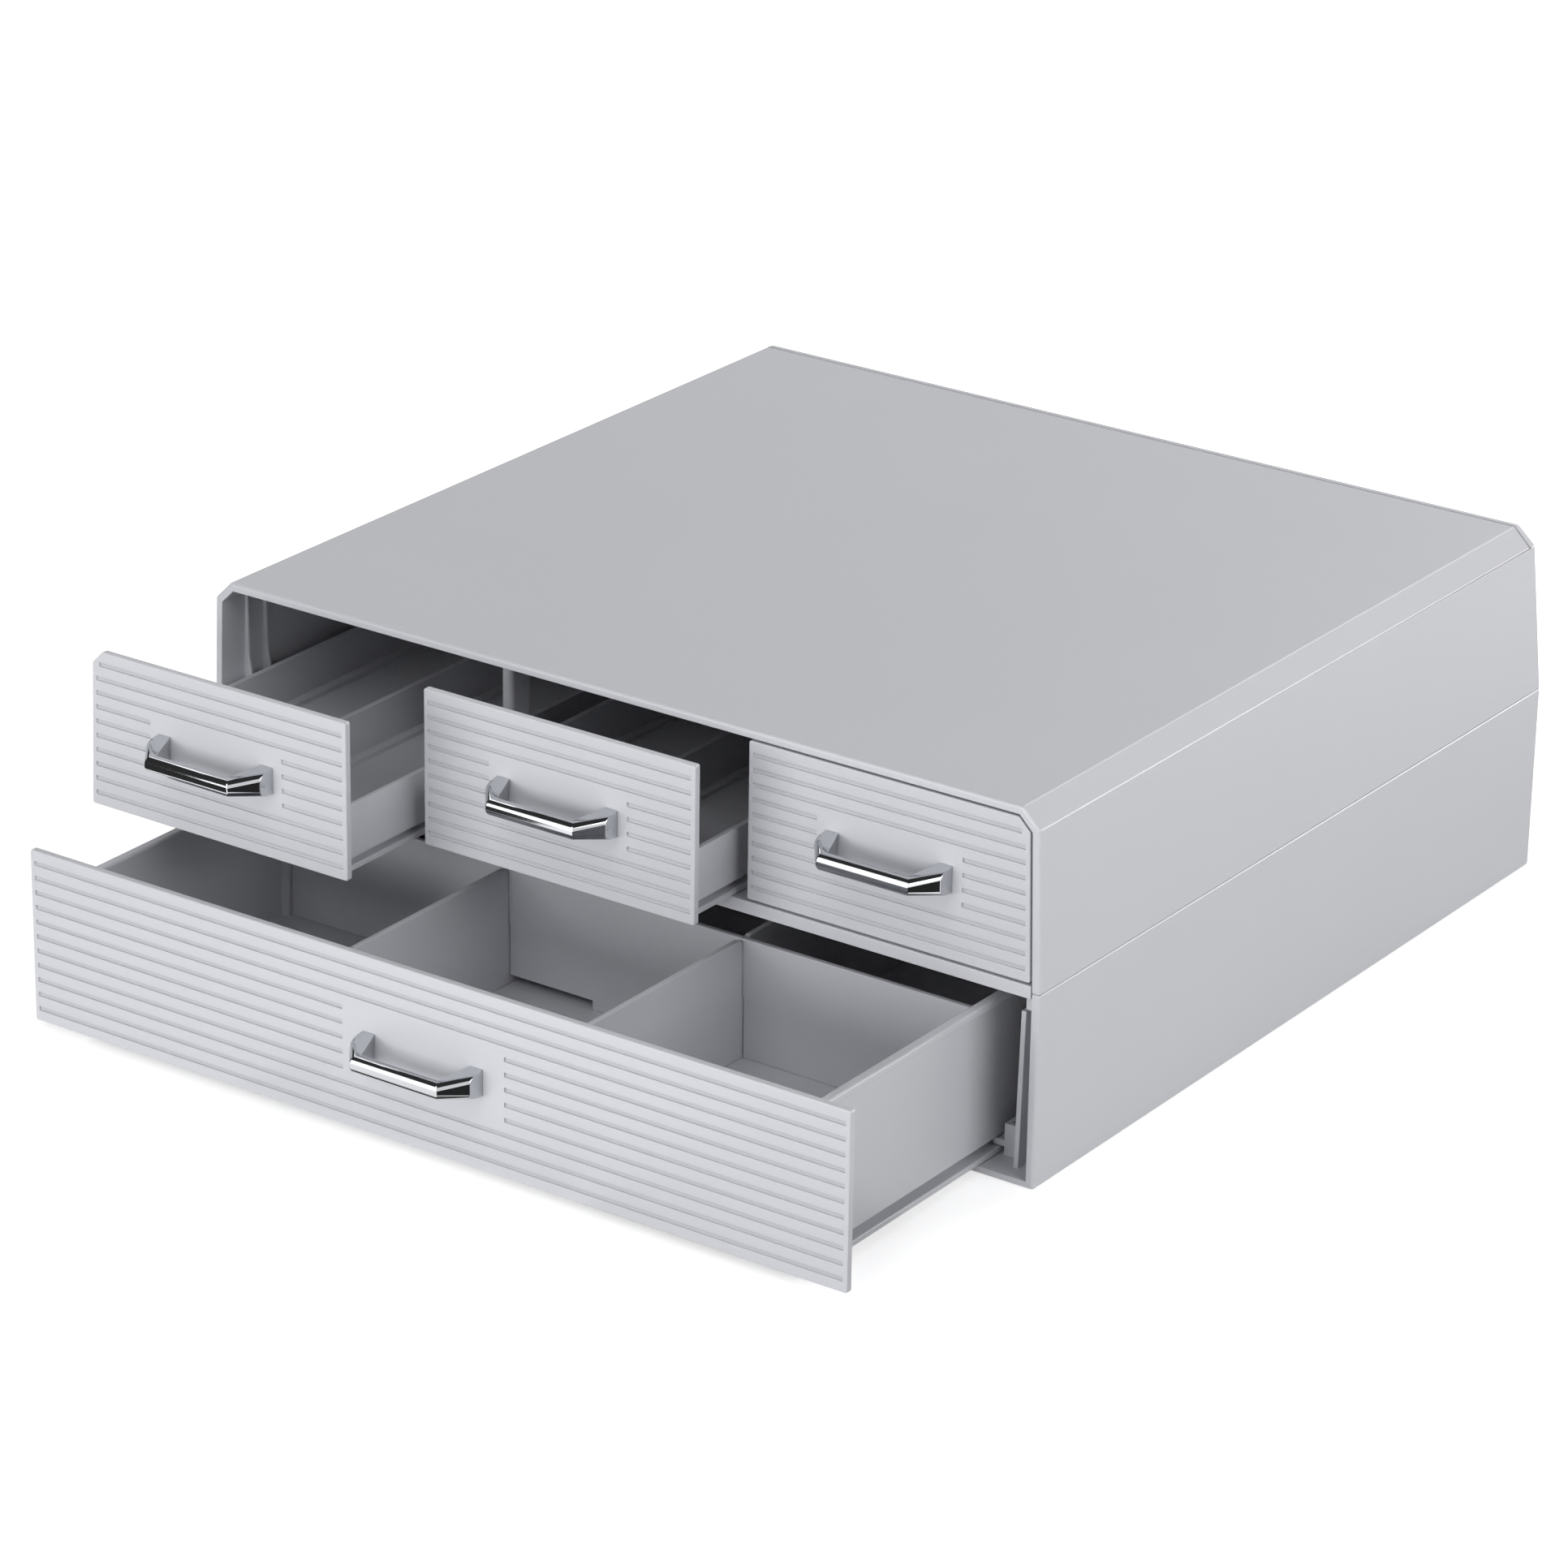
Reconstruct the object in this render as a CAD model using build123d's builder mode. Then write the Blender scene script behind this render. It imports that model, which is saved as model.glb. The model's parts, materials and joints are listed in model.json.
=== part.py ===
from build123d import *
import os

# Coffee capsule drawer: a moulded cabinet with three small capsule drawers over one wide drawer.
# Millimetres, +Z up. The origin lies on the table under the middle of the casing, and the drawers
# pull out towards -Y. The drawers stand open by the amounts given below.

os.makedirs("parts", exist_ok=True)

# Casing: two moulded shells that meet at a seam
casing_width = 330.0
casing_depth = 320.0
casing_height = 128.0
seam_height = 66.8
wall = 2.9
floor_thickness = 2.5
top_chamfer = 6.5
side_lean = 2.0
back_lean = 8.0
edge_round = 1.2
seam_bevel = 0.35
witness_inset = 3.6
witness_width = 0.5
witness_depth = 0.2

# Struts under the casing's top, between the small drawers
strut_thickness = 4.5
strut_setback = 16.3
strut_foot_depth = 8.0
strut_head_depth = 10.8
strut_round_share = 0.42

# Guide ribs on the side walls, beside the outer small drawers
rib_thickness = 1.3
rib_head_reach = 0.9
rib_nib_height = 10.4
rib_setback = 12.0
rib_pitch = 9.5
rib_gap = 0.7

# Shelf that carries the small drawers, with a lip along its front edge
shelf_thickness = 2.4
shelf_lip_drop = 2.0
shelf_lip_depth = 3.0
shelf_fit = 0.4
ledge_width = 4.0
ledge_thickness = 7.6

# Runners: a flange under each tray slides below a hook
runner_gap = 0.3
flange_thickness = 2.0
hook_gap = 0.4
hook_reach = 2.6
hook_length = 40.0
hook_web = 1.8
stop_length = 5.0
small_hook_thickness = 1.8
small_rail_setback = 32.0
lower_hook_thickness = 2.2
lower_rail_setback = 12.0
lower_rail_height = 10.9
lower_web_gap = 1.6
rail_back_room = 40.0

# Corner fins in the lower casing, beside the wide drawer
fin_setback = 6.2
fin_thickness = 1.8
fin_depth = 14.0
fin_top_gap = 9.9
fin_wall_gap = 6.8
fin_lean = 1.2

# Drawer fronts
front_gap = 0.8
front_thickness = 2.4
front_round = 0.5
front_corner = 0.8
groove_width = 1.6
groove_depth = 0.75
groove_draft_angle = 3.0
groove_margin = 4.5
groove_end = 1.6
small_groove_count = 10
small_broken_rows = range(3, 7)
small_plain_width = 54.6
lower_groove_count = 11
lower_broken_rows = range(3, 8)
lower_plain_width = 64.0

# Tongues that join a front to its tray
tongue_width = 12.0
tongue_thickness = 1.8
tongue_fit = 0.2
small_tongue_spacing = 60.0
small_tongue_drop = 8.7
lower_tongue_spacing = 190.0
lower_tongue_height = 28.0

# Small trays
tray_wall = 2.0
tray_floor = 1.6
tray_back_room = 8.0
small_tray_inset = 5.3
small_rim_drop = 2.35
small_runner_depth = 3.6
small_corner = 2.5
kerb_width = 3.2
kerb_height = 1.8

# Wide tray
lower_wall = 2.2
lower_floor = 2.0
lower_side_room = 18.5
lower_rim_gap = 6.8
lower_flange_reach = 1.0
lower_runner_depth = 3.8
lower_corner = 3.0
rim_reach = 1.4
rim_height = 2.6
rim_round = 0.9
keeper_reach = 3.0
keeper_thickness = 2.0

# Dividers that slot into each other in the wide tray
divider_thickness = 2.0
divider_drop = 6.3
divider_fit = 0.25
divider_corner = 2.5
divider_notch_height = 3.3
divider_notch_start = 12.0

# Handles
handle_length = 47.6
handle_projection = 15.0
handle_foot_depth = 6.5
handle_foot_width = 4.8
handle_front_length = 34.4
handle_inner_length = 30.0
handle_bar_depth = 3.4
handle_foot_height = 9.2
handle_bar_height = 5.2
handle_round_share = 0.46
facing_share = 0.5

# Screws that hold a handle from behind its front
screw_radius = 1.3
screw_grip = 5.5
screw_head_radius = 2.6
screw_head_height = 1.6
screw_fit = 0.2

# How far each drawer is pulled out
left_opening = 66.0
middle_opening = 27.4
right_opening = 0.0
lower_opening = 96.8

# Cuts run past the solid by this much
overrun = 5.0

# Places worked out from the sizes above
BACK = (0, 1, 0)
front_y = -casing_depth / 2
back_y = casing_depth / 2
shelf_top = seam_height + shelf_thickness
shelf_half = casing_width / 2 - wall - shelf_fit
ceiling = casing_height - wall
lower_half = casing_width / 2 - wall
bay_pitch = 2 * lower_half / 3
small_base = shelf_top + runner_gap
small_slot = small_hook_thickness + 2 * hook_gap
small_floor_top = flange_thickness + small_slot + tray_floor
small_tray_half = bay_pitch / 2 - small_tray_inset
lower_base = floor_thickness + runner_gap
lower_slot = lower_hook_thickness + 2 * hook_gap
lower_floor_top = flange_thickness + lower_slot + lower_floor
lower_tray_length = casing_depth - wall - tray_back_room - front_thickness
small_front_bottom = shelf_top + front_gap
small_front_top = ceiling - front_gap
small_middle_z = (small_front_bottom + small_front_top) / 2
small_tray_height = small_middle_z - screw_head_radius - small_rim_drop - small_base
lower_front_bottom = floor_thickness + front_gap
lower_front_top = seam_height - shelf_lip_drop - front_gap
lower_middle_z = (lower_front_bottom + lower_front_top) / 2
screw_hole = 2 * (screw_radius + screw_fit)
lower_tray_half = lower_half - lower_side_room
lower_tray_height = seam_height - shelf_lip_drop - lower_rim_gap - lower_base
divider_height = lower_tray_height - lower_floor_top - divider_drop
fin_height = seam_height - floor_thickness - fin_top_gap


def casing_half(height):
    """Half the upper casing's outer width at a height: its sides lean in towards the top."""
    rise_share = (height - seam_height) / (casing_height - seam_height)
    return casing_width / 2 - side_lean * rise_share


def casing_back(height, inset):
    """Depth from the front to the upper casing's leaning back wall at a height."""
    rise_share = (height - seam_height) / (casing_height - seam_height)
    return casing_depth - inset - back_lean * rise_share


small_tray_length = (
    casing_back(small_base + small_tray_height, wall) - tray_back_room - front_thickness
)


def shoulder(inset):
    """Right-hand top corner of the upper casing's outline, drawn in by an inset."""
    corner_share = 2 - 2**0.5
    leg = top_chamfer - inset * corner_share
    top = casing_height - inset
    half = casing_half(top - leg) - inset
    return [(half, top - leg), (half - leg, top)]


def mirrored(right_side):
    """Outline points of the right-hand side, and then the same points on the left."""
    return right_side + [(-x, z) for x, z in reversed(right_side)]


def upper_outline(inset, bottom):
    """Closed front outline of the upper casing, drawn in by an inset."""
    return mirrored([(casing_half(bottom) - inset, bottom)] + shoulder(inset))


def face_plane(depth):
    """Upright plane facing the user, at a depth behind the casing's front."""
    return Plane(origin=(0, front_y + depth, 0), x_dir=(1, 0, 0), z_dir=(0, -1, 0))


def back_plane(inset):
    """Leaning plane of the upper casing's back wall, drawn in by an inset."""
    return Plane(
        origin=(0, back_y - inset, seam_height),
        x_dir=(1, 0, 0),
        z_dir=(0, casing_height - seam_height, back_lean),
    )


def save(piece, name):
    """Writes a finished piece under its own name."""
    piece.label = name
    export_step(piece, f"parts/{name}.step")


# Upper casing: chamfered hood with a leaning back, open below and in front
with BuildPart() as upper_void:
    with BuildSketch(face_plane(-overrun)):
        with BuildLine():
            Polyline(*upper_outline(wall, seam_height - overrun), close=True)
        make_face()
    extrude(amount=casing_depth + overrun, dir=BACK)
    split(bisect_by=back_plane(wall), keep=Keep.BOTTOM)

with BuildPart() as upper_casing:
    with BuildSketch(face_plane(0)):
        with BuildLine():
            Polyline(*upper_outline(0, seam_height), close=True)
        make_face()
    extrude(amount=casing_depth, dir=BACK)
    split(bisect_by=back_plane(0), keep=Keep.BOTTOM)
    outer_edges = upper_casing.edges() - upper_casing.faces().sort_by(Axis.Z)[0].edges()
    fillet(outer_edges, radius=edge_round)
    seam_edges = upper_casing.faces().sort_by(Axis.Z)[0].edges()
    chamfer(seam_edges, length=seam_bevel)
    add(upper_void.part, mode=Mode.SUBTRACT)

    # Shallow line across the top and its chamfers, near the back
    with BuildSketch(face_plane(casing_back(casing_height, witness_inset))):
        with BuildLine():
            above = mirrored(shoulder(-overrun))
            below = mirrored(shoulder(witness_depth))
            Polyline(*above, *reversed(below), close=True)
        make_face()
    extrude(amount=witness_width, dir=BACK, mode=Mode.SUBTRACT)

    # Struts taper towards their feet, which stand on the shelf
    for side in (-1, 1):
        strut_front = front_y + strut_setback
        with BuildSketch(Plane.YZ.offset(side * bay_pitch / 2)):
            with BuildLine():
                Polyline(
                    (strut_front, shelf_top),
                    (strut_front, ceiling),
                    (strut_front + strut_head_depth, ceiling),
                    (strut_front + strut_foot_depth, shelf_top),
                    close=True,
                )
            make_face()
        extrude(amount=strut_thickness / 2, both=True)
    upright_edges = upper_casing.edges().filter_by(Axis.Z)
    strut_edges = upright_edges.filter_by_position(Axis.Y, strut_front, strut_front)
    fillet(strut_edges, radius=strut_round_share * strut_thickness)

    # Guide ribs swell into a nib beside the drawer's rim
    rib_inner = bay_pitch + small_tray_half + rib_gap
    rib_rim = small_base + small_tray_height
    rib_shoulder_z = shoulder(wall)[0][1]
    rib_shoulder_x = shoulder(wall)[0][0]
    for rib_depth in (rib_setback, rib_setback + rib_pitch):
        for side in (-1, 1):
            with BuildSketch(face_plane(rib_depth)):
                with BuildLine():
                    Polyline(
                        (side * rib_inner, small_base + hook_gap),
                        (side * rib_inner, rib_rim - rib_nib_height / 2),
                        (side * (rib_shoulder_x - rib_head_reach), rib_rim + rib_nib_height / 2),
                        (side * (rib_shoulder_x - rib_head_reach), rib_shoulder_z),
                        (side * (rib_shoulder_x + wall / 2), rib_shoulder_z),
                        (side * (lower_half + wall / 2), small_base + hook_gap),
                        close=True,
                    )
                make_face()
            extrude(amount=rib_thickness, dir=BACK)
save(upper_casing.part, "upper_casing")

# Lower casing: open box with the wide drawer's rails on its floor
with BuildPart() as lower_casing:
    with BuildSketch(Plane.XY):
        Rectangle(casing_width, casing_depth)
    extrude(amount=seam_height)
    outer_edges = lower_casing.edges() - lower_casing.faces().sort_by(Axis.Z)[-1].edges()
    fillet(outer_edges, radius=edge_round)
    seam_edges = lower_casing.faces().sort_by(Axis.Z)[-1].edges()
    chamfer(seam_edges, length=seam_bevel)
    with BuildSketch(Plane.XY.offset(floor_thickness)):
        with Locations((0, -wall)):
            Rectangle(2 * lower_half, casing_depth)
    extrude(amount=seam_height, mode=Mode.SUBTRACT)

    # Ledge along the walls that the shelf rests on
    with BuildSketch(Plane.XY.offset(seam_height - ledge_thickness)):
        with Locations((0, (shelf_lip_depth + shelf_fit) / 2)):
            Rectangle(2 * lower_half, casing_depth - shelf_lip_depth - shelf_fit)
        with Locations((0, (shelf_lip_depth + shelf_fit - wall - ledge_width) / 2 - overrun)):
            Rectangle(
                2 * (lower_half - ledge_width),
                casing_depth - shelf_lip_depth - shelf_fit - wall - ledge_width + 2 * overrun,
                mode=Mode.SUBTRACT,
            )
    extrude(amount=ledge_thickness)

    # Rails: a web along the floor, with a hook at its front over the drawer's flange
    web_inner = lower_tray_half + lower_flange_reach + lower_web_gap
    web_outer = web_inner + hook_web
    hook_inner = lower_tray_half + lower_flange_reach - hook_reach
    hook_bottom = lower_base + flange_thickness + hook_gap
    rail_length = casing_depth - wall - lower_rail_setback - rail_back_room
    fin_inner = lower_half - fin_wall_gap - fin_thickness
    for side in (-1, 1):
        with BuildSketch(Plane.XY.offset(floor_thickness)):
            with Locations((side * (web_inner + web_outer) / 2, front_y + lower_rail_setback)):
                Rectangle(hook_web, rail_length, align=(Align.CENTER, Align.MIN))
        extrude(amount=lower_rail_height)
        with BuildSketch(Plane.XY.offset(hook_bottom)):
            with Locations((side * (hook_inner + web_outer) / 2, front_y + lower_rail_setback)):
                Rectangle(web_outer - hook_inner, hook_length, align=(Align.CENTER, Align.MIN))
        extrude(amount=lower_hook_thickness)

        # Gusset from the web to the fin, and the leaning fin with its rib to the wall
        with BuildSketch(Plane.XY.offset(floor_thickness)):
            with Locations((side * (web_outer + fin_inner) / 2, front_y + lower_rail_setback)):
                Rectangle(
                    fin_inner - web_outer + fin_thickness,
                    hook_web,
                    align=(Align.CENTER, Align.MIN),
                )
        extrude(amount=lower_rail_height)
        with BuildSketch(face_plane(fin_setback)):
            with BuildLine():
                Polyline(
                    (side * fin_inner, floor_thickness),
                    (side * (fin_inner + fin_thickness), floor_thickness),
                    (side * (fin_inner + fin_thickness + fin_lean), floor_thickness + fin_height),
                    (side * (fin_inner + fin_lean), floor_thickness + fin_height),
                    close=True,
                )
            make_face()
        extrude(amount=fin_depth, dir=BACK)
        with BuildSketch(face_plane(fin_setback + fin_depth - fin_thickness)):
            with BuildLine():
                Polyline(
                    (side * (fin_inner + fin_thickness / 2), floor_thickness),
                    (side * (lower_half + wall / 2), floor_thickness),
                    (side * (lower_half + wall / 2), floor_thickness + fin_height),
                    (side * (fin_inner + fin_lean + fin_thickness / 2), floor_thickness + fin_height),
                    close=True,
                )
            make_face()
        extrude(amount=fin_thickness, dir=BACK)
save(lower_casing.part, "lower_casing")

# Shelf: plate with a front lip, and rails with hooks for the small drawers
with BuildPart() as shelf:
    shelf_depth = casing_depth - wall - shelf_fit
    with BuildSketch(Plane.XY.offset(seam_height)):
        with Locations((0, front_y)):
            Rectangle(2 * shelf_half, shelf_depth, align=(Align.CENTER, Align.MIN))
    extrude(amount=shelf_thickness)
    with BuildSketch(Plane.XY.offset(seam_height - shelf_lip_drop)):
        with Locations((0, front_y)):
            Rectangle(2 * shelf_half, shelf_lip_depth, align=(Align.CENTER, Align.MIN))
    extrude(amount=shelf_lip_drop)

    small_hook_bottom = small_base + flange_thickness + hook_gap
    small_hook_top = small_hook_bottom + small_hook_thickness
    tee_half = bay_pitch / 2 - small_tray_half + hook_reach
    side_hook_inner = bay_pitch + small_tray_half - hook_reach
    small_rail_length = casing_depth - wall - small_rail_setback - rail_back_room
    rail_front = front_y + small_rail_setback
    for side in (-1, 1):
        middle_x = side * bay_pitch / 2
        edge_x = side * (shelf_half - hook_web / 2)
        with BuildSketch(Plane.XY.offset(shelf_top)):
            with Locations((middle_x, rail_front), (edge_x, rail_front)):
                Rectangle(hook_web, small_rail_length, align=(Align.CENTER, Align.MIN))
        extrude(amount=small_hook_top - shelf_top)
        with BuildSketch(Plane.XY.offset(small_hook_bottom)):
            with Locations((middle_x, rail_front)):
                Rectangle(2 * tee_half, hook_length, align=(Align.CENTER, Align.MIN))
            with Locations((side * (side_hook_inner + shelf_half) / 2, rail_front)):
                Rectangle(shelf_half - side_hook_inner, hook_length, align=(Align.CENTER, Align.MIN))
        extrude(amount=small_hook_thickness)
save(shelf.part, "shelf")


def drawer_front(outline, ends, levels, opening, rows, broken_rows, center, plain_width, tongues):
    """Grooved front: the grooves stop short of a plain field behind the handle."""
    bottom, top = levels
    middle_z = (bottom + top) / 2
    pitch = (top - bottom - 2 * groove_margin) / (rows - 1)
    plain_left = center - plain_width / 2
    plain_right = center + plain_width / 2
    tongue_spacing, tongue_z, tongue_length = tongues
    with BuildPart() as front:
        with BuildSketch(face_plane(-opening)) as plate:
            with BuildLine():
                Polyline(*outline, close=True)
            make_face()
            fillet(plate.vertices(), radius=front_corner)
        extrude(amount=front_thickness, dir=BACK)
        fillet(front.faces().sort_by(Axis.Y)[0].edges(), radius=front_round)
        with BuildSketch(face_plane(-opening)):
            for row in range(rows):
                z = top - groove_margin - row * pitch
                left, right = ends(z)
                runs = [(left, right)]
                if row in broken_rows:
                    runs = [(left, plain_left), (plain_right, right)]
                for start, stop in runs:
                    with Locations(((start + stop) / 2, z)):
                        Rectangle(stop - start, groove_width)
        extrude(amount=groove_depth, dir=BACK, taper=groove_draft_angle, mode=Mode.SUBTRACT)
        with BuildSketch(face_plane(front_thickness - opening)):
            with Locations((center, tongue_z)):
                with GridLocations(tongue_spacing, 0, 2, 1):
                    Rectangle(tongue_width, tongue_thickness)
        extrude(amount=tongue_length, dir=BACK)

        # Square clearance holes for the handle's screws
        with BuildSketch(face_plane(-opening)):
            with Locations((center, middle_z)):
                with GridLocations(handle_length - handle_foot_width, 0, 2, 1):
                    Rectangle(screw_hole, screw_hole)
        extrude(amount=front_thickness, dir=BACK, mode=Mode.SUBTRACT)
    return front.part


def small_tray(center, opening):
    """Low tray with two capsule channels on a pair of flanged runners."""
    origin = (center, front_y + front_thickness - opening, small_base)
    base = Plane(origin=origin, x_dir=(1, 0, 0), z_dir=(0, 0, 1))
    length = small_tray_length
    half = small_tray_half
    channel_width = half - tray_wall - tray_wall / 2
    channel_x = tray_wall / 2 + channel_width / 2
    underside = flange_thickness + small_slot
    with BuildPart() as tray:
        with BuildSketch(base):
            with Locations((0, length / 2)):
                Rectangle(2 * half, length)
        extrude(amount=small_tray_height)
        fillet(tray.edges().filter_by(Axis.Z).group_by(Axis.Y)[-1], radius=small_corner)

        # Runner slots end short of the back, where the uncut block is the drawer's stop
        with BuildSketch(base.offset(flange_thickness)):
            with Locations((half, -overrun), (-half, -overrun)):
                Rectangle(
                    2 * small_runner_depth,
                    length + overrun - stop_length,
                    align=(Align.CENTER, Align.MIN),
                )
        extrude(amount=small_slot, mode=Mode.SUBTRACT)

        # Hollow between the runners
        with BuildSketch(base):
            with Locations((0, length / 2)):
                Rectangle(2 * (half - small_runner_depth - tray_wall), length - 2 * tray_wall)
        extrude(amount=underside, mode=Mode.SUBTRACT)

        # Two channels with a kerb along the foot of their walls
        with BuildSketch(base.offset(small_floor_top + kerb_height)):
            with Locations((channel_x, length / 2), (-channel_x, length / 2)):
                Rectangle(channel_width, length - 2 * tray_wall)
        extrude(amount=small_tray_height, mode=Mode.SUBTRACT)
        with BuildSketch(base.offset(small_floor_top)):
            with Locations((channel_x, length / 2), (-channel_x, length / 2)):
                Rectangle(channel_width - 2 * kerb_width, length - 2 * tray_wall)
        extrude(amount=kerb_height, mode=Mode.SUBTRACT)

        # Slots for the front's tongues
        with BuildSketch(Plane(origin=origin, x_dir=(1, 0, 0), z_dir=(0, -1, 0))):
            with Locations((0, small_tray_height - small_tongue_drop)):
                with GridLocations(small_tongue_spacing, 0, 2, 1):
                    Rectangle(tongue_width + 2 * tongue_fit, tongue_thickness + 2 * tongue_fit)
        extrude(amount=tray_wall, dir=BACK, mode=Mode.SUBTRACT)
    return tray.part


def handle(center, middle_z, opening):
    """Bar on two feet: its plan outline meets a side outline that tapers to the front."""
    origin = (center, front_y - opening, middle_z)
    foot = handle_length / 2
    reach = -handle_projection
    bar_back = handle_bar_depth - handle_projection
    bar_round = handle_bar_height * handle_round_share
    right_half = [
        (foot - handle_foot_width, 0),
        (foot, 0),
        (foot, -handle_foot_depth),
        (handle_front_length / 2, reach),
    ]
    inner = (handle_inner_length / 2, bar_back)
    left_half = [(-x, y) for x, y in reversed(right_half)]
    with BuildPart() as bar:
        with BuildSketch(Plane(origin=origin, x_dir=(1, 0, 0), z_dir=(0, 0, 1))):
            with BuildLine():
                Polyline(inner, *right_half, *left_half, (-inner[0], inner[1]), close=True)
            make_face()
        extrude(amount=handle_foot_height, both=True)
        with BuildSketch(Plane(origin=origin, x_dir=(0, 1, 0), z_dir=(1, 0, 0))):
            with BuildLine():
                Polyline(
                    (0, handle_foot_height / 2),
                    (reach, handle_bar_height / 2),
                    (reach, -handle_bar_height / 2),
                    (0, -handle_foot_height / 2),
                    close=True,
                )
            make_face()
        extrude(amount=handle_length, both=True, mode=Mode.INTERSECT)
        outer_faces = bar.faces().filter_by(lambda face: face.normal_at().Y < -facing_share)
        fillet(outer_faces.edges().filter_by(Axis.Z, reverse=True), radius=bar_round)
        with BuildSketch(Plane(origin=origin, x_dir=(1, 0, 0), z_dir=(0, -1, 0))):
            with GridLocations(handle_length - handle_foot_width, 0, 2, 1):
                Circle(screw_radius)
        extrude(amount=screw_grip + screw_fit, mode=Mode.SUBTRACT)
    return bar.part


def handle_screws(center, middle_z, opening, stack):
    """Pair of pan-head screws, through a stack of panels and into the handle's feet."""
    origin = (center, front_y - opening + stack, middle_z)
    seat = Plane(origin=origin, x_dir=(1, 0, 0), z_dir=(0, -1, 0))
    with BuildPart() as screws:
        with BuildSketch(seat):
            with GridLocations(handle_length - handle_foot_width, 0, 2, 1):
                Circle(screw_head_radius)
        extrude(amount=screw_head_height, dir=BACK)
        with BuildSketch(seat):
            with GridLocations(handle_length - handle_foot_width, 0, 2, 1):
                Circle(screw_radius)
        extrude(amount=stack + screw_grip)
    return screws.part


# Small drawers: the outer fronts follow the casing's lean and its chamfer
inner_edge = bay_pitch / 2 - front_gap / 2
outer_inset = wall + front_gap
outer_shoulder = shoulder(outer_inset)


def outer_edge(height):
    """Distance from the middle of the cabinet to an outer front's leaning or chamfered edge."""
    (shoulder_x, shoulder_z), _ = outer_shoulder
    if height > shoulder_z:
        return shoulder_x - (height - shoulder_z)
    return casing_half(height) - outer_inset


middle_outline = [
    (-inner_edge, small_front_bottom),
    (inner_edge, small_front_bottom),
    (inner_edge, small_front_top),
    (-inner_edge, small_front_top),
]
right_outline = [
    (bay_pitch - inner_edge, small_front_bottom),
    (outer_edge(small_front_bottom), small_front_bottom),
    *outer_shoulder,
    (bay_pitch - inner_edge, small_front_top),
]
left_outline = [(-x, z) for x, z in reversed(right_outline)]


def middle_ends(height):
    """Where the grooves of the middle front end at a height."""
    return groove_end - inner_edge, inner_edge - groove_end


def right_ends(height):
    """Where the grooves of the right front end at a height: the top one gives way to the chamfer."""
    return bay_pitch - inner_edge + groove_end, outer_edge(height + groove_width) - groove_end


def left_ends(height):
    """Where the grooves of the left front end at a height."""
    start, stop = right_ends(height)
    return -stop, -start


small_tongue_z = small_tray_height - small_tongue_drop
small_tongues = (small_tongue_spacing, small_base + small_tongue_z, tray_wall)
small_drawers = [
    ("left", -bay_pitch, left_outline, left_ends, left_opening),
    ("middle", 0, middle_outline, middle_ends, middle_opening),
    ("right", bay_pitch, right_outline, right_ends, right_opening),
]
for name, center, outline, ends, opening in small_drawers:
    front = drawer_front(
        outline,
        ends,
        (small_front_bottom, small_front_top),
        opening,
        small_groove_count,
        small_broken_rows,
        center,
        small_plain_width,
        small_tongues,
    )
    save(front, f"{name}_front")
    save(small_tray(center, opening), f"{name}_tray")
    save(handle(center, small_middle_z, opening), f"{name}_handle")
    save(handle_screws(center, small_middle_z, opening, front_thickness), f"{name}_handle_screws")

# Wide drawer
lower_edge = lower_half - front_gap
lower_outline = [
    (-lower_edge, lower_front_bottom),
    (lower_edge, lower_front_bottom),
    (lower_edge, lower_front_top),
    (-lower_edge, lower_front_top),
]


def lower_ends(height):
    """Where the grooves of the wide front end at a height."""
    return groove_end - lower_edge, lower_edge - groove_end


lower_front = drawer_front(
    lower_outline,
    lower_ends,
    (lower_front_bottom, lower_front_top),
    lower_opening,
    lower_groove_count,
    lower_broken_rows,
    0,
    lower_plain_width,
    (lower_tongue_spacing, lower_base + lower_tongue_height, lower_wall),
)
save(lower_front, "lower_front")
save(handle(0, lower_middle_z, lower_opening), "lower_handle")
save(
    handle_screws(0, lower_middle_z, lower_opening, front_thickness + lower_wall),
    "lower_handle_screws",
)

# Wide tray: nine compartments, with keepers on its walls for the dividers' ends
lower_origin = (0, front_y + front_thickness - lower_opening, lower_base)
lower_plane = Plane(origin=lower_origin, x_dir=(1, 0, 0), z_dir=(0, 0, 1))
lower_face = Plane(origin=lower_origin, x_dir=(1, 0, 0), z_dir=(0, -1, 0))
cavity_half = lower_tray_half - lower_wall
cavity_length = lower_tray_length - 2 * lower_wall
divider_x = 2 * cavity_half / 3 / 2
divider_depths = [lower_wall + cavity_length * row / 3 for row in (1, 2)]
keeper_offset = divider_thickness / 2 + divider_fit + keeper_thickness / 2

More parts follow.
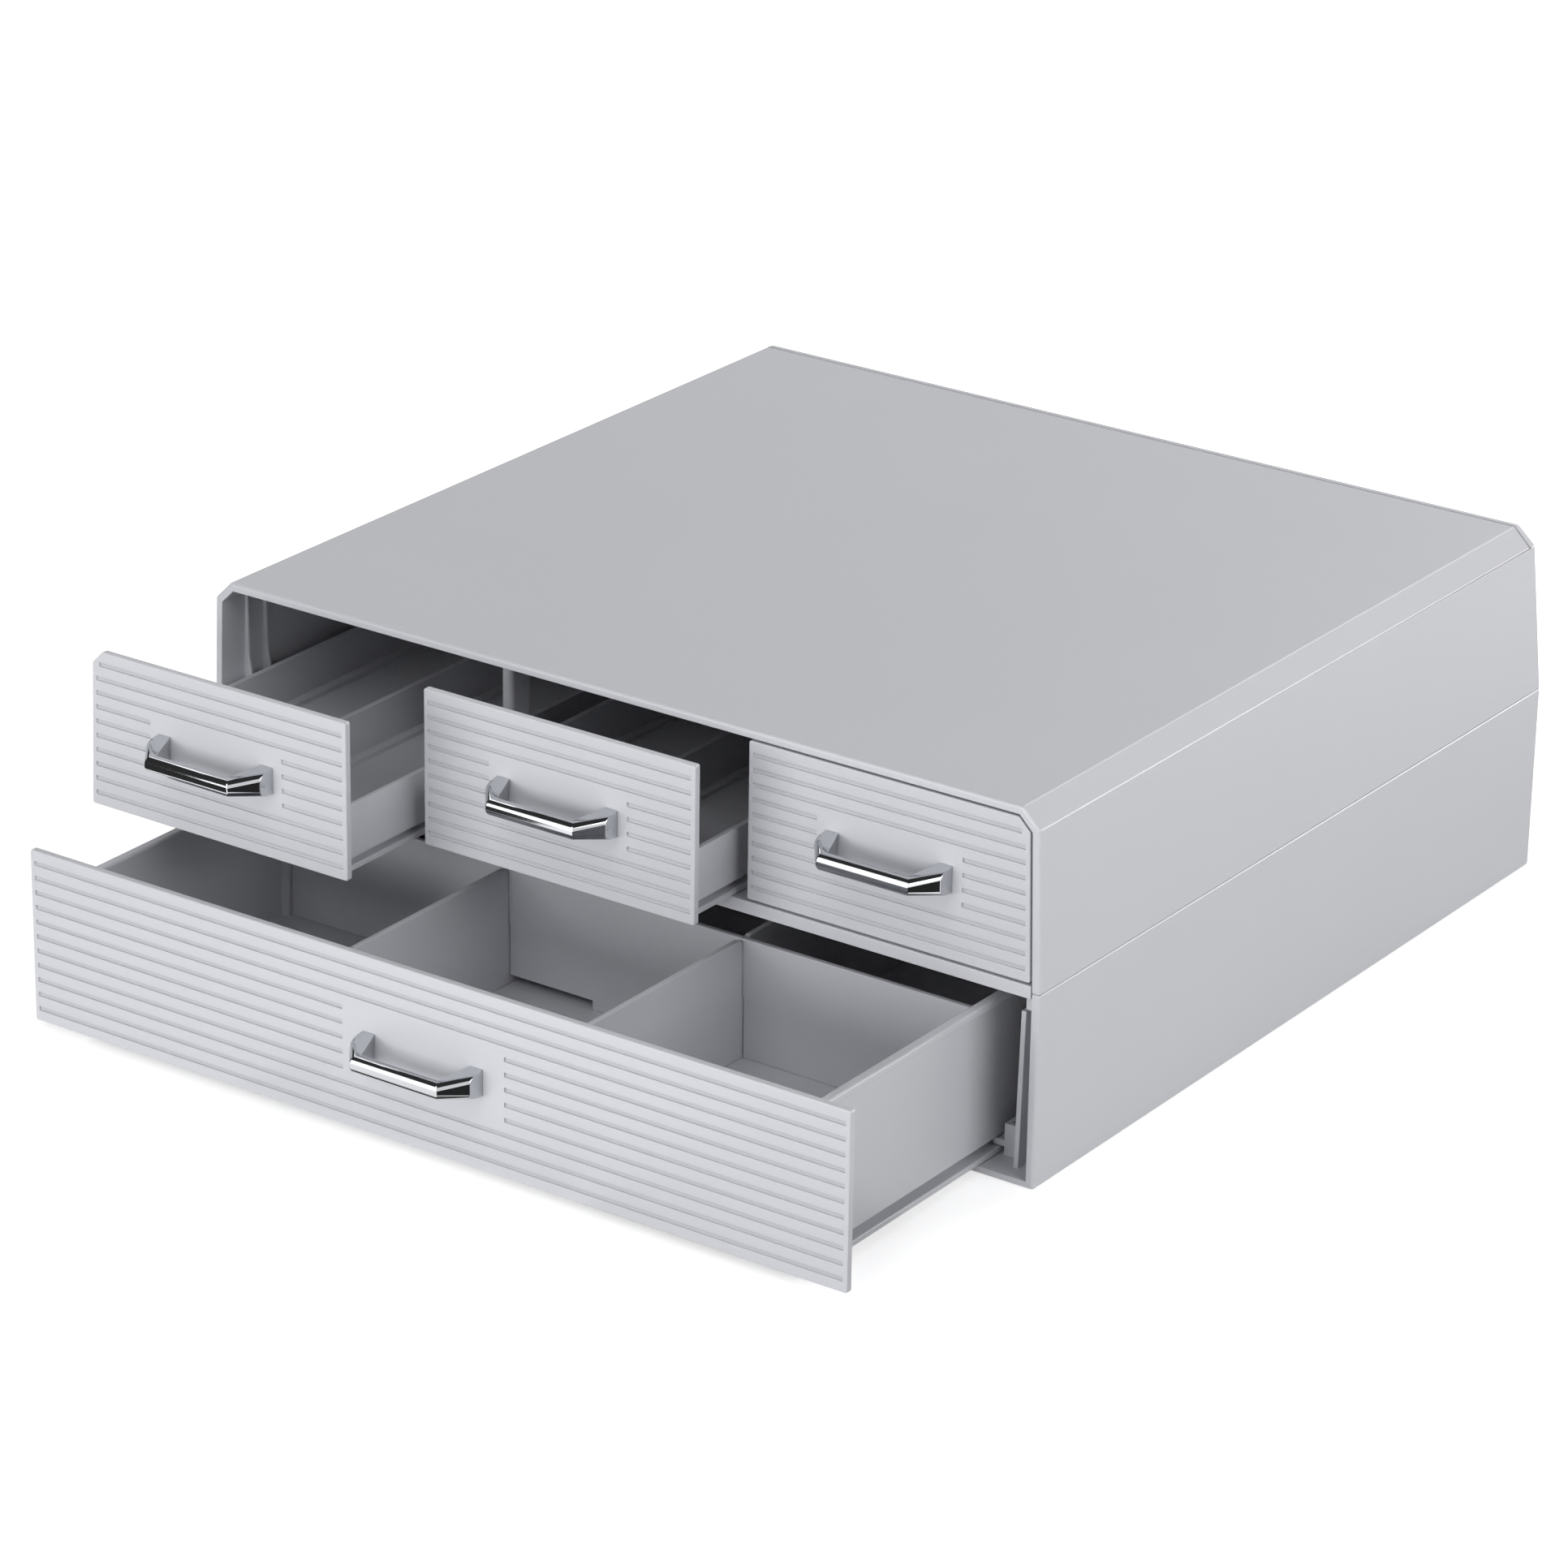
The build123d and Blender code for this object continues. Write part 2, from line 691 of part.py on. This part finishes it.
with BuildPart() as lower_tray:
    with BuildSketch(lower_plane):
        with Locations((0, lower_tray_length / 2)):
            Rectangle(2 * lower_tray_half, lower_tray_length)
    extrude(amount=lower_tray_height)
    fillet(lower_tray.edges().filter_by(Axis.Z).group_by(Axis.Y)[-1], radius=lower_corner)
    with BuildSketch(lower_plane):
        with Locations((0, lower_tray_length / 2)):
            Rectangle(2 * (lower_tray_half + lower_flange_reach), lower_tray_length)
    extrude(amount=flange_thickness)
    with BuildSketch(lower_plane.offset(lower_tray_height - rim_height)):
        Rectangle(
            2 * (lower_tray_half + rim_reach),
            lower_tray_length + rim_reach,
            align=(Align.CENTER, Align.MIN),
        )
    extrude(amount=rim_height)

    # Runner slots, stopped at the back, and the hollow between the runners
    with BuildSketch(lower_plane.offset(flange_thickness)):
        with Locations((lower_tray_half, -overrun), (-lower_tray_half, -overrun)):
            Rectangle(
                2 * lower_runner_depth,
                lower_tray_length + overrun - stop_length,
                align=(Align.CENTER, Align.MIN),
            )
    extrude(amount=lower_slot, mode=Mode.SUBTRACT)
    with BuildSketch(lower_plane):
        with Locations((0, lower_tray_length / 2)):
            Rectangle(
                2 * (lower_tray_half - lower_runner_depth - lower_wall),
                lower_tray_length - 2 * lower_wall,
            )
    extrude(amount=flange_thickness + lower_slot, mode=Mode.SUBTRACT)
    with BuildSketch(lower_plane.offset(lower_floor_top)):
        with Locations((0, lower_tray_length / 2)):
            Rectangle(2 * cavity_half, cavity_length)
    extrude(amount=lower_tray_height, mode=Mode.SUBTRACT)
    rim_edges = lower_tray.faces().sort_by(Axis.Z)[-1].edges()
    fillet(rim_edges, radius=rim_round)

    # Keepers in pairs, one on each side of every divider's end
    with BuildSketch(lower_plane.offset(lower_floor_top)):
        for depth in divider_depths:
            for shift in (-keeper_offset, keeper_offset):
                for side in (-1, 1):
                    with Locations((side * (cavity_half - keeper_reach / 2), depth + shift)):
                        Rectangle(keeper_reach, keeper_thickness)
        for side in (-1, 1):
            for shift in (-keeper_offset, keeper_offset):
                for end in (lower_wall, lower_tray_length - lower_wall - keeper_reach):
                    with Locations((side * divider_x + shift, end)):
                        Rectangle(keeper_thickness, keeper_reach, align=(Align.CENTER, Align.MIN))
    extrude(amount=divider_height)

    # Slots for the front's tongues, and square clearance holes for the handle's screws
    with BuildSketch(lower_face):
        with Locations((0, lower_tongue_height)):
            with GridLocations(lower_tongue_spacing, 0, 2, 1):
                Rectangle(tongue_width + 2 * tongue_fit, tongue_thickness + 2 * tongue_fit)
        with Locations((0, lower_middle_z - lower_base)):
            with GridLocations(handle_length - handle_foot_width, 0, 2, 1):
                Rectangle(screw_hole, screw_hole)
    extrude(amount=lower_wall, dir=BACK, mode=Mode.SUBTRACT)
save(lower_tray.part, "lower_tray")

# Dividers: the cross ones have slots from below, the long ones from above
divider_foot = lower_base + lower_floor_top
divider_top = divider_foot + divider_height
divider_middle = divider_foot + divider_height / 2
slot_width = divider_thickness + 2 * divider_fit
tray_front = front_thickness - lower_opening

for name, depth in zip(("front_cross_divider", "rear_cross_divider"), divider_depths):
    with BuildPart() as cross_divider:
        cross_half = cavity_half - divider_fit
        with BuildSketch(face_plane(tray_front + depth - divider_thickness / 2)):
            with Locations((0, divider_middle)):
                Rectangle(2 * cross_half, divider_height)
            with Locations((divider_x, divider_foot), (-divider_x, divider_foot)):
                Rectangle(slot_width, divider_height + 2 * divider_fit, mode=Mode.SUBTRACT)
            notch_width = divider_x - divider_notch_start
            notch_x = (divider_x + divider_notch_start) / 2
            with Locations((notch_x, divider_foot), (-notch_x, divider_foot)):
                Rectangle(notch_width, 2 * divider_notch_height, mode=Mode.SUBTRACT)
        extrude(amount=divider_thickness, dir=BACK)
    save(cross_divider.part, name)

for name, side in (("left_divider", -1), ("right_divider", 1)):
    with BuildPart() as long_divider:
        long_length = cavity_length - 2 * divider_fit
        long_start = front_y + tray_front + lower_wall + divider_fit
        with BuildSketch(Plane.YZ.offset(side * divider_x)) as profile:
            with Locations((long_start, divider_foot)):
                Rectangle(long_length, divider_height, align=(Align.MIN, Align.MIN))
            for depth in divider_depths:
                with Locations((front_y + tray_front + depth, divider_top)):
                    Rectangle(slot_width, divider_height - 2 * divider_fit, mode=Mode.SUBTRACT)
            fillet(profile.vertices().group_by(Axis.Y)[-1], radius=divider_corner)
        extrude(amount=divider_thickness / 2, both=True)
    save(long_divider.part, name)

# Travel of each drawer from closed to its stop
small_travel = front_thickness + small_tray_length - stop_length - small_rail_setback - hook_length
lower_travel = front_thickness + lower_tray_length - stop_length - lower_rail_setback - hook_length
print("small drawer travel", round(small_travel, 3))
print("wide drawer travel", round(lower_travel, 3))
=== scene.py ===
import json
from math import cos, radians, sin

import bmesh
import bpy
from mathutils import Matrix, Vector


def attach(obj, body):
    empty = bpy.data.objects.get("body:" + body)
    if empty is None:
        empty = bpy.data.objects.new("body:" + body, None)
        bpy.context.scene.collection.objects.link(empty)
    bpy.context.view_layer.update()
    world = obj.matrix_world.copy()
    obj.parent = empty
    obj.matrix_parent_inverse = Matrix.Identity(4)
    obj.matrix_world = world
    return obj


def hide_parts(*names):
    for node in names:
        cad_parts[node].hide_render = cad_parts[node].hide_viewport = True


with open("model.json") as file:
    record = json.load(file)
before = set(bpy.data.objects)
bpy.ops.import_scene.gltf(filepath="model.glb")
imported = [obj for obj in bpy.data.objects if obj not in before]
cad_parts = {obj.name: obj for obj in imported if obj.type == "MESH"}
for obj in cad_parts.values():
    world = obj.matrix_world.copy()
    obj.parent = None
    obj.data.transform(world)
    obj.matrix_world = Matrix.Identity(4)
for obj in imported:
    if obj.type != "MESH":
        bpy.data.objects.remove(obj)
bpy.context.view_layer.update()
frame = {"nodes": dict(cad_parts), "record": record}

MM = 0.001

# Camera: where it stands round the cabinet, and the point that it looks at
CAMERA_AIM = Vector((-3.8, -56.5, 60.0)) * MM
CAMERA_TURN = radians(34.78)
CAMERA_RISE = radians(22.78)
CAMERA_ROLL = radians(0.97)
CAMERA_DISTANCE = 2020.8 * MM
CAMERA_SIGHT = 20000.0 * MM
SENSOR_WIDTH_MM = 36.0
CAMERA_LENS_MM = 138.37

# Studio: softboxes round the cabinet by turn from the front, rise, distance, width, height and watts
LIGHT_AIM = Vector((0.0, -50.0, 60.0)) * MM
SOFTBOXES = {
    "low_front_softbox": (-8.0, 6.0, 1600.0, 1600.0, 600.0, 16.5),
    "high_front_softbox": (0.0, 40.0, 1600.0, 1000.0, 1000.0, 7.0),
    "right_softbox": (82.0, 27.0, 1600.0, 1200.0, 1000.0, 11.5),
    "rear_softbox": (173.0, 39.0, 1600.0, 1000.0, 1000.0, 11.5),
    "left_softbox": (-95.0, 36.0, 1600.0, 1000.0, 1000.0, 5.2),
}
# Cards that only reflections see. They draw the white bands and the dark lines on the chrome, and the rear
# one also brightens the gloss of the plastic along the hood's right chamfer.
# Each has its middle, its width and height, its lean from lying flat, its turn, and its glow.
MIRROR_CARDS = {
    "front_white_card": ((-202.0, -950.0, 580.0), 915.0, 1160.0, 90.0, 0.0, 2.0),
    "left_dark_card": ((-870.0, -380.0, 800.0), 1250.0, 1600.0, 90.0, 112.0, 0.04),
    "ceiling_dark_card": ((0.0, 0.0, 1600.0), 2600.0, 2600.0, 0.0, 0.0, 0.04),
    "left_floor_dark_card": ((-880.0, -590.0, 1.0), 1000.0, 1200.0, 0.0, -35.0, 0.04),
    "right_floor_dark_card": ((660.0, -480.0, 1.0), 1200.0, 560.0, 0.0, 0.0, 0.03),
    # The drawer-foot card is painted shadow: a dark sheet that stands in for the floor's shadow in front of
    # the lower drawer, where the lower handle reflects it
    "drawer_foot_painted_shadow_card": ((-15.0, -276.0, 1.0), 130.0, 26.0, 0.0, 0.0, 0.1),
    "rear_white_card": ((924.0, 1182.0, 200.0), 700.0, 320.0, 90.0, -38.0, 20.0),
}
WHITE_LIGHT = (1.0, 1.0, 1.0, 1.0)
FLOOR_PAINT = "F4F4F4"
FLOOR_RADIUS = 3000.0 * MM
FLOOR_SIDES = 96
FLOOR_GLOW_NEAR = 0.5
FLOOR_FADE_START = 270.0 * MM
FLOOR_FADE_END = 520.0 * MM

# Light grey ABS: its tone drifts between two greys, and the floors of the fronts' grooves are darkened to a
# third grey, painted shade for the recesses
ABS_GREY = "C3C4C9"
ABS_PALE_GREY = "C6C7CC"
ABS_PAINTED_GROOVE_SHADE_GREY = "B9BABF"
ABS_IOR = 1.53
ABS_FLOW_SIZE = 70.0 * MM
ABS_GLOSS_SPREAD = 0.05

# Chrome and zinc plating
CHROME_GREY = "C6C8CB"
CHROME_RIPPLE_SIZE = 6.0 * MM
CHROME_RIPPLE_DEPTH = 0.05 * MM
ZINC_GREY = "C2C5C9"
ZINC_MOTTLE_SIZE = 0.8 * MM

# Rounded edges of the pieces, by material slot
MERGE_DISTANCE = 0.002 * MM
FLAT_ANGLE = radians(0.3)
SHARP_ANGLE = radians(28.0)
EDGE_SEGMENTS = 2
SLOT_EDGES = {
    "casing_plastic": 0.25 * MM,
    "front_plastic": 0.08 * MM,
    "tray_plastic": 0.3 * MM,
    "handle_chrome": 0.3 * MM,
    "screw_steel": 0.15 * MM,
}
# How far the floor of a front's groove lies behind its face, at the least and at the most,
# and how squarely it looks forward at the least: these pick the faces that get the painted groove shade
GROOVE_DEPTHS = (0.5 * MM, 1.2 * MM)
GROOVE_FORWARD = 0.9


def linear(hex_colour):
    """Turns an sRGB hex colour into linear RGBA."""
    shades = [int(hex_colour[i:i + 2], 16) / 255 for i in (0, 2, 4)]
    return [s / 12.92 if s <= 0.04045 else ((s + 0.055) / 1.055) ** 2.4 for s in shades] + [1.0]


def add(tree, kind, inputs=None, **settings):
    """Adds a node with its settings. Each input is a value, or the output of another node."""
    node = tree.nodes.new(kind)
    for name, setting in settings.items():
        setattr(node, name, setting)
    for name, value in (inputs or {}).items():
        if isinstance(value, bpy.types.NodeSocket):
            tree.links.new(value, node.inputs[name])
        else:
            node.inputs[name].default_value = value
    return node


def new_material(name):
    """An empty node material, with its tree."""
    material = bpy.data.materials.new(name)
    material.use_nodes = True
    material.node_tree.nodes.clear()
    return material, material.node_tree


def new_object(name, shape):
    """Makes an object of a finished bmesh, at the origin."""
    mesh = bpy.data.meshes.new(name)
    shape.to_mesh(mesh)
    shape.free()
    piece = bpy.data.objects.new(name, mesh)
    bpy.context.scene.collection.objects.link(piece)
    return piece


def moulded_plastic(name, roughness, grain_size, grain_depth, grain_strength):
    """ABS from a steel mould: its grain breaks up the gloss, and its tone drifts a little where the melt
    flowed. The grain is drawn coarser than a real mould's, so that it shows. The floors of the grooves,
    which only the fronts have, get painted shade: a darker grey that stands in for the shade in the recesses."""
    material, tree = new_material(name)
    place = add(tree, "ShaderNodeTexCoord").outputs["Object"]
    flow = add(tree, "ShaderNodeTexNoise", {"Vector": place, "Scale": 1 / ABS_FLOW_SIZE, "Detail": 2.0})
    tone = add(tree, "ShaderNodeMix", {
        0: flow.outputs["Fac"], 6: linear(ABS_GREY), 7: linear(ABS_PALE_GREY)}, data_type="RGBA")
    # Painted shade: the floors of the fronts' grooves are mixed towards a darker grey
    painted_groove_shade = add(tree, "ShaderNodeAttribute", attribute_name="painted_groove_shade").outputs["Fac"]
    tone = add(tree, "ShaderNodeMix", {
        0: painted_groove_shade, 6: tone.outputs[2], 7: linear(ABS_PAINTED_GROOVE_SHADE_GREY)}, data_type="RGBA")
    grain = add(tree, "ShaderNodeTexNoise", {"Vector": place, "Scale": 1 / grain_size, "Detail": 3.0})
    gloss = add(tree, "ShaderNodeMapRange", {
        "Value": grain.outputs["Fac"], "To Min": roughness - ABS_GLOSS_SPREAD,
        "To Max": roughness + ABS_GLOSS_SPREAD})
    relief = add(tree, "ShaderNodeBump", {
        "Height": grain.outputs["Fac"], "Distance": grain_depth, "Strength": grain_strength})
    surface = add(tree, "ShaderNodeBsdfPrincipled", {
        "Base Color": tone.outputs[2], "Roughness": gloss.outputs["Result"], "IOR": ABS_IOR,
        "Normal": relief.outputs["Normal"]})
    add(tree, "ShaderNodeOutputMaterial", {"Surface": surface.outputs["BSDF"]})
    return material


def chrome_plate():
    """Bright chrome over moulded plastic: a mirror, with a faint ripple where the plating follows the
    moulding."""
    material, tree = new_material("chrome_plated_abs")
    place = add(tree, "ShaderNodeTexCoord").outputs["Object"]
    ripple = add(tree, "ShaderNodeTexNoise", {
        "Vector": place, "Scale": 1 / CHROME_RIPPLE_SIZE, "Detail": 1.0})
    relief = add(tree, "ShaderNodeBump", {
        "Height": ripple.outputs["Fac"], "Distance": CHROME_RIPPLE_DEPTH, "Strength": 0.1})
    surface = add(tree, "ShaderNodeBsdfPrincipled", {
        "Base Color": linear(CHROME_GREY), "Metallic": 1.0, "Roughness": 0.05,
        "Normal": relief.outputs["Normal"]})
    add(tree, "ShaderNodeOutputMaterial", {"Surface": surface.outputs["BSDF"]})
    return material


def zinc_plate():
    """Zinc-plated steel screws: a dull metal, mottled by the plating bath."""
    material, tree = new_material("zinc_plated_steel")
    place = add(tree, "ShaderNodeTexCoord").outputs["Object"]
    mottle = add(tree, "ShaderNodeTexNoise", {
        "Vector": place, "Scale": 1 / ZINC_MOTTLE_SIZE, "Detail": 2.0})
    gloss = add(tree, "ShaderNodeMapRange", {
        "Value": mottle.outputs["Fac"], "To Min": 0.25, "To Max": 0.45})
    surface = add(tree, "ShaderNodeBsdfPrincipled", {
        "Base Color": linear(ZINC_GREY), "Metallic": 1.0, "Roughness": gloss.outputs["Result"]})
    add(tree, "ShaderNodeOutputMaterial", {"Surface": surface.outputs["BSDF"]})
    return material


MATERIALS = {
    "casing_plastic": moulded_plastic(
        "grained_abs_casing", roughness=0.4, grain_size=0.5 * MM, grain_depth=0.06 * MM, grain_strength=0.35),
    "front_plastic": moulded_plastic(
        "satin_abs_front", roughness=0.42, grain_size=0.8 * MM, grain_depth=0.03 * MM, grain_strength=0.15),
    "tray_plastic": moulded_plastic(
        "satin_abs_tray", roughness=0.45, grain_size=0.8 * MM, grain_depth=0.03 * MM, grain_strength=0.15),
    "handle_chrome": chrome_plate(),
    "screw_steel": zinc_plate(),
}


def mark_grooves(front):
    """Marks the floors of a front's grooves, which get the painted groove shade: the faces that look forward
    from a little behind its face.
    """
    painted_groove_shade = front.faces.layers.float.new("painted_groove_shade")
    face_y = min(v.co.y for v in front.verts)
    for face in front.faces:
        depth = face.calc_center_median().y - face_y
        if face.normal.y < -GROOVE_FORWARD and GROOVE_DEPTHS[0] < depth < GROOVE_DEPTHS[1]:
            face[painted_groove_shade] = 1.0


def rounded_copy(node, radius):
    """A copy of a CAD node with its sharp edges rounded, kept inside the node's box."""
    shape = bmesh.new()
    shape.from_mesh(frame["nodes"][node].data)
    bmesh.ops.remove_doubles(shape, verts=shape.verts, dist=MERGE_DISTANCE)
    bmesh.ops.dissolve_limit(shape, angle_limit=FLAT_ANGLE, verts=shape.verts, edges=shape.edges)
    low, high = [[limit(v.co[i] for v in shape.verts) for i in range(3)] for limit in (min, max)]
    sharp = [e for e in shape.edges if e.calc_face_angle(0.0) > SHARP_ANGLE]
    bmesh.ops.bevel(shape, geom=sharp, offset=radius, offset_type="OFFSET", segments=EDGE_SEGMENTS,
                    profile=0.5, affect="EDGES", material=-1, clamp_overlap=False)
    for v in shape.verts:
        v.co = [min(max(c, least), most) for c, least, most in zip(v.co, low, high)]
    # The fronts' groove floors are marked for the painted groove shade
    if node.endswith("_front"):
        mark_grooves(shape)
    piece = new_object(f"{node}_moulding", shape)
    for face in piece.data.polygons:
        face.use_smooth = True
    piece.modifiers.new("flat faces stay flat", "WEIGHTED_NORMAL").keep_sharp = True
    return piece


def add_mouldings():
    """Gives every CAD node its rounded copy, in the material of its slot."""
    slots = {part["node"]: part["material_slot"] for part in frame["record"]["subparts"]}
    for body, nodes in frame["record"]["behaviour"]["bodies"].items():
        for node in nodes:
            slot = slots[node]
            piece = rounded_copy(node, SLOT_EDGES[slot])
            piece.data.materials.append(MATERIALS[slot])
            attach(piece, body)
            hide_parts(node)


def seen_as_background(tree):
    """One for rays that see the background: from the camera, or by a mirror or glass. Zero for the rest."""
    path = add(tree, "ShaderNodeLightPath")
    seen = add(tree, "ShaderNodeMath", {
        0: path.outputs["Is Camera Ray"], 1: path.outputs["Is Glossy Ray"]}, operation="MAXIMUM")
    return add(tree, "ShaderNodeMath", {
        0: seen.outputs[0], 1: path.outputs["Is Transmission Ray"]}, operation="MAXIMUM").outputs[0]


def add_floor():
    """A white studio floor that fades into the white surroundings and keeps the shadow."""
    shape = bmesh.new()
    bmesh.ops.create_circle(shape, cap_ends=True, radius=FLOOR_RADIUS, segments=FLOOR_SIDES)
    floor = new_object("studio_floor", shape)
    material, tree = new_material("white_studio_floor")
    place = add(tree, "ShaderNodeTexCoord").outputs["Object"]
    away = add(tree, "ShaderNodeVectorMath", {0: place}, operation="LENGTH")
    fade = add(tree, "ShaderNodeMapRange", {
        "Value": away.outputs["Value"], "From Min": FLOOR_FADE_START, "From Max": FLOOR_FADE_END,
        "To Min": FLOOR_GLOW_NEAR, "To Max": 1.0}, interpolation_type="SMOOTHSTEP")
    glow = add(tree, "ShaderNodeEmission", {"Color": WHITE_LIGHT, "Strength": fade.outputs["Result"]})
    paint = add(tree, "ShaderNodeBsdfDiffuse", {"Color": linear(FLOOR_PAINT)})
    lit = add(tree, "ShaderNodeAddShader", {0: paint.outputs[0], 1: glow.outputs[0]})
    shown = add(tree, "ShaderNodeMixShader", {
        0: seen_as_background(tree), 1: paint.outputs[0], 2: lit.outputs[0]})
    add(tree, "ShaderNodeOutputMaterial", {"Surface": shown.outputs[0]})
    floor.data.materials.append(material)


def add_mirror_cards():
    """White and dark cards out of the picture, which only reflections see."""
    for name, (middle, width, height, lean, turn, glow) in MIRROR_CARDS.items():
        shape = bmesh.new()
        stand = Matrix.Rotation(radians(turn), 4, "Z") @ Matrix.Rotation(radians(lean), 4, "X")
        sized = Matrix.Diagonal((width * MM, height * MM, 1.0, 1.0))
        bmesh.ops.create_grid(shape, x_segments=1, y_segments=1, size=0.5,
                              matrix=Matrix.Translation(Vector(middle) * MM) @ stand @ sized)
        card = new_object(name, shape)
        material, tree = new_material(name)
        sheet = add(tree, "ShaderNodeEmission", {"Color": WHITE_LIGHT, "Strength": glow})
        add(tree, "ShaderNodeOutputMaterial", {"Surface": sheet.outputs[0]})
        card.data.materials.append(material)
        card.visible_camera = card.visible_diffuse = card.visible_transmission = card.visible_shadow = False


def add_world():
    """White surroundings for the eye and for reflections. They put no diffuse light on the object."""
    world = bpy.data.worlds.new("white_studio")
    bpy.context.scene.world = world
    world.use_nodes = True
    tree = world.node_tree
    tree.nodes.clear()
    sky = add(tree, "ShaderNodeBackground", {"Color": WHITE_LIGHT, "Strength": seen_as_background(tree)})
    add(tree, "ShaderNodeOutputWorld", {"Surface": sky.outputs["Background"]})


def direction(turn, rise):
    """The way out from the cabinet at a turn to the right of its front and a rise over the table."""
    return Vector((sin(turn) * cos(rise), -cos(turn) * cos(rise), sin(rise)))


def add_softboxes():
    """Soft light from all four sides, each box facing the cabinet."""
    for name, (turn, rise, distance, width, height, watts) in SOFTBOXES.items():
        lamp = bpy.data.lights.new(name, "AREA")
        lamp.shape = "RECTANGLE"
        lamp.size = width * MM
        lamp.size_y = height * MM
        lamp.energy = watts
        light = bpy.data.objects.new(name, lamp)
        bpy.context.scene.collection.objects.link(light)
        out = direction(radians(turn), radians(rise))
        light.location = LIGHT_AIM + out * distance * MM
        light.rotation_euler = (-out).to_track_quat("-Z", "Y").to_euler()


def add_camera():
    """Stands the camera where the photograph was taken from."""
    camera = bpy.data.objects.new("camera", bpy.data.cameras.new("camera"))
    bpy.context.scene.collection.objects.link(camera)
    out = direction(CAMERA_TURN, CAMERA_RISE)
    turned = (-out).to_track_quat("-Z", "Y").to_matrix() @ Matrix.Rotation(CAMERA_ROLL, 3, "Z")
    camera.matrix_world = Matrix.Translation(CAMERA_AIM + out * CAMERA_DISTANCE) @ turned.to_4x4()
    camera.data.sensor_width = SENSOR_WIDTH_MM
    camera.data.lens = CAMERA_LENS_MM
    camera.data.clip_end = CAMERA_SIGHT
    bpy.context.scene.camera = camera


add_mouldings()
add_floor()
add_mirror_cards()
add_world()
add_softboxes()
add_camera()
bpy.context.scene.view_settings.view_transform = "Standard"
